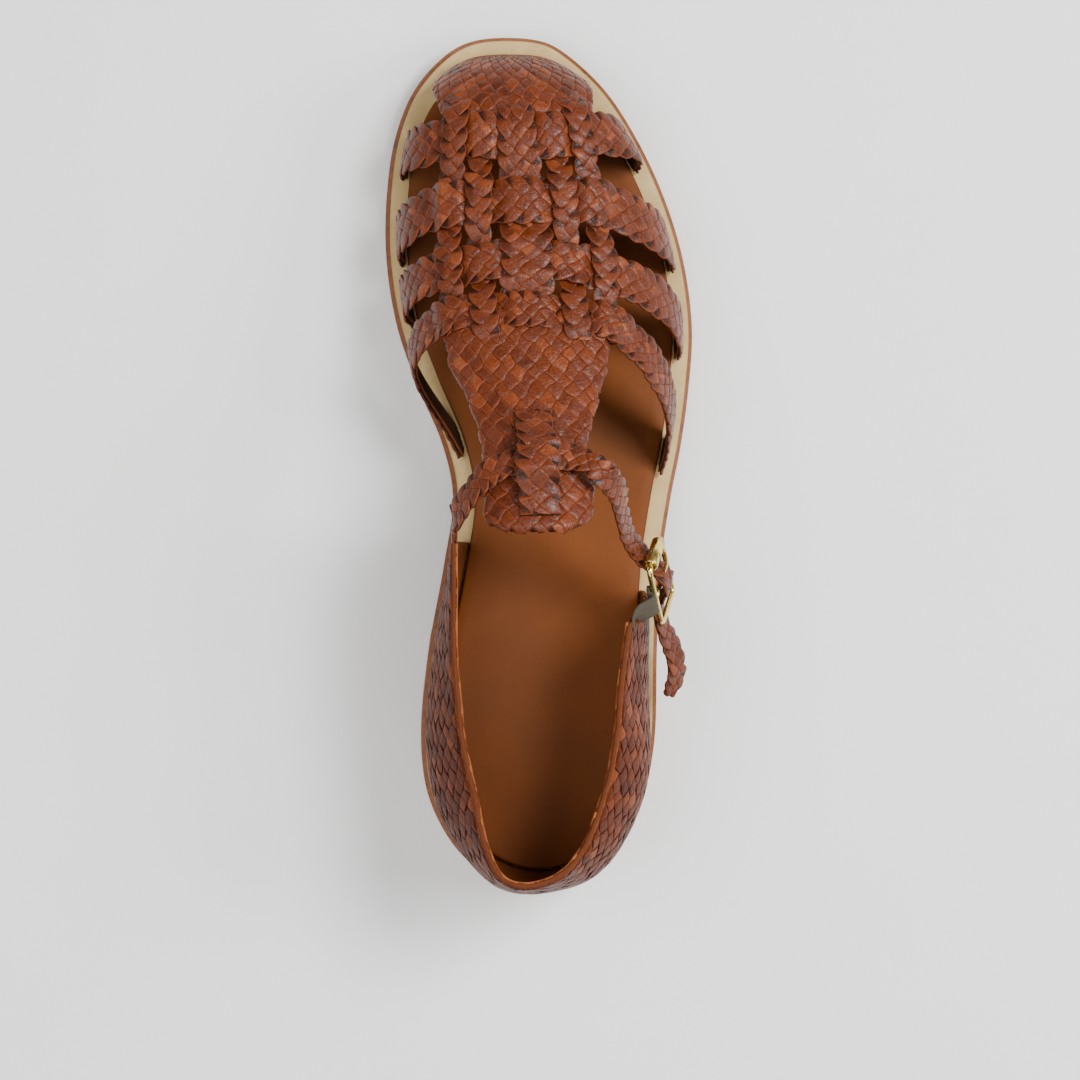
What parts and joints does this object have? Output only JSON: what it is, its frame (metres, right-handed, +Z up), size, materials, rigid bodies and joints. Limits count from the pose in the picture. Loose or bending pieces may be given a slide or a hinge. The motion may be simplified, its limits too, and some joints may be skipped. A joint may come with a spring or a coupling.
{
  "type": "fisherman sandal",
  "caption": "Woven leather fisherman sandal for the right foot: plaited cage vamp and tongue, closed woven heel quarter, buckled ankle strap, low-heeled leather sole",
  "frame": {"origin": "bottom centre of the sandal's box, on the floor it stands on", "axes": "+Y from heel to toe, +X towards the outer side of the right foot, +Z up"},
  "size_m": [0.0944, 0.26, 0.0858],
  "materials": {
    "sole_leather": "burnished edge",
    "midsole_leather": "natural, matte",
    "insole_leather": "smooth, satin",
    "woven_leather": "glazed, semi-gloss",
    "buckle_brass": "polished",
    "elastic_fabric": "woven, matte"
  },
  "bodies": {
    "root": {"outsole": "sole_leather", "midsole": "midsole_leather", "insole": "insole_leather", "vamp": "woven_leather", "heel_quarter": "woven_leather", "ankle_strap": "woven_leather", "buckle_frame": "buckle_brass", "buckle_roller": "buckle_brass", "buckle_prong": "buckle_brass", "elastic_loop": "elastic_fabric"}
  },
  "joints": []
}
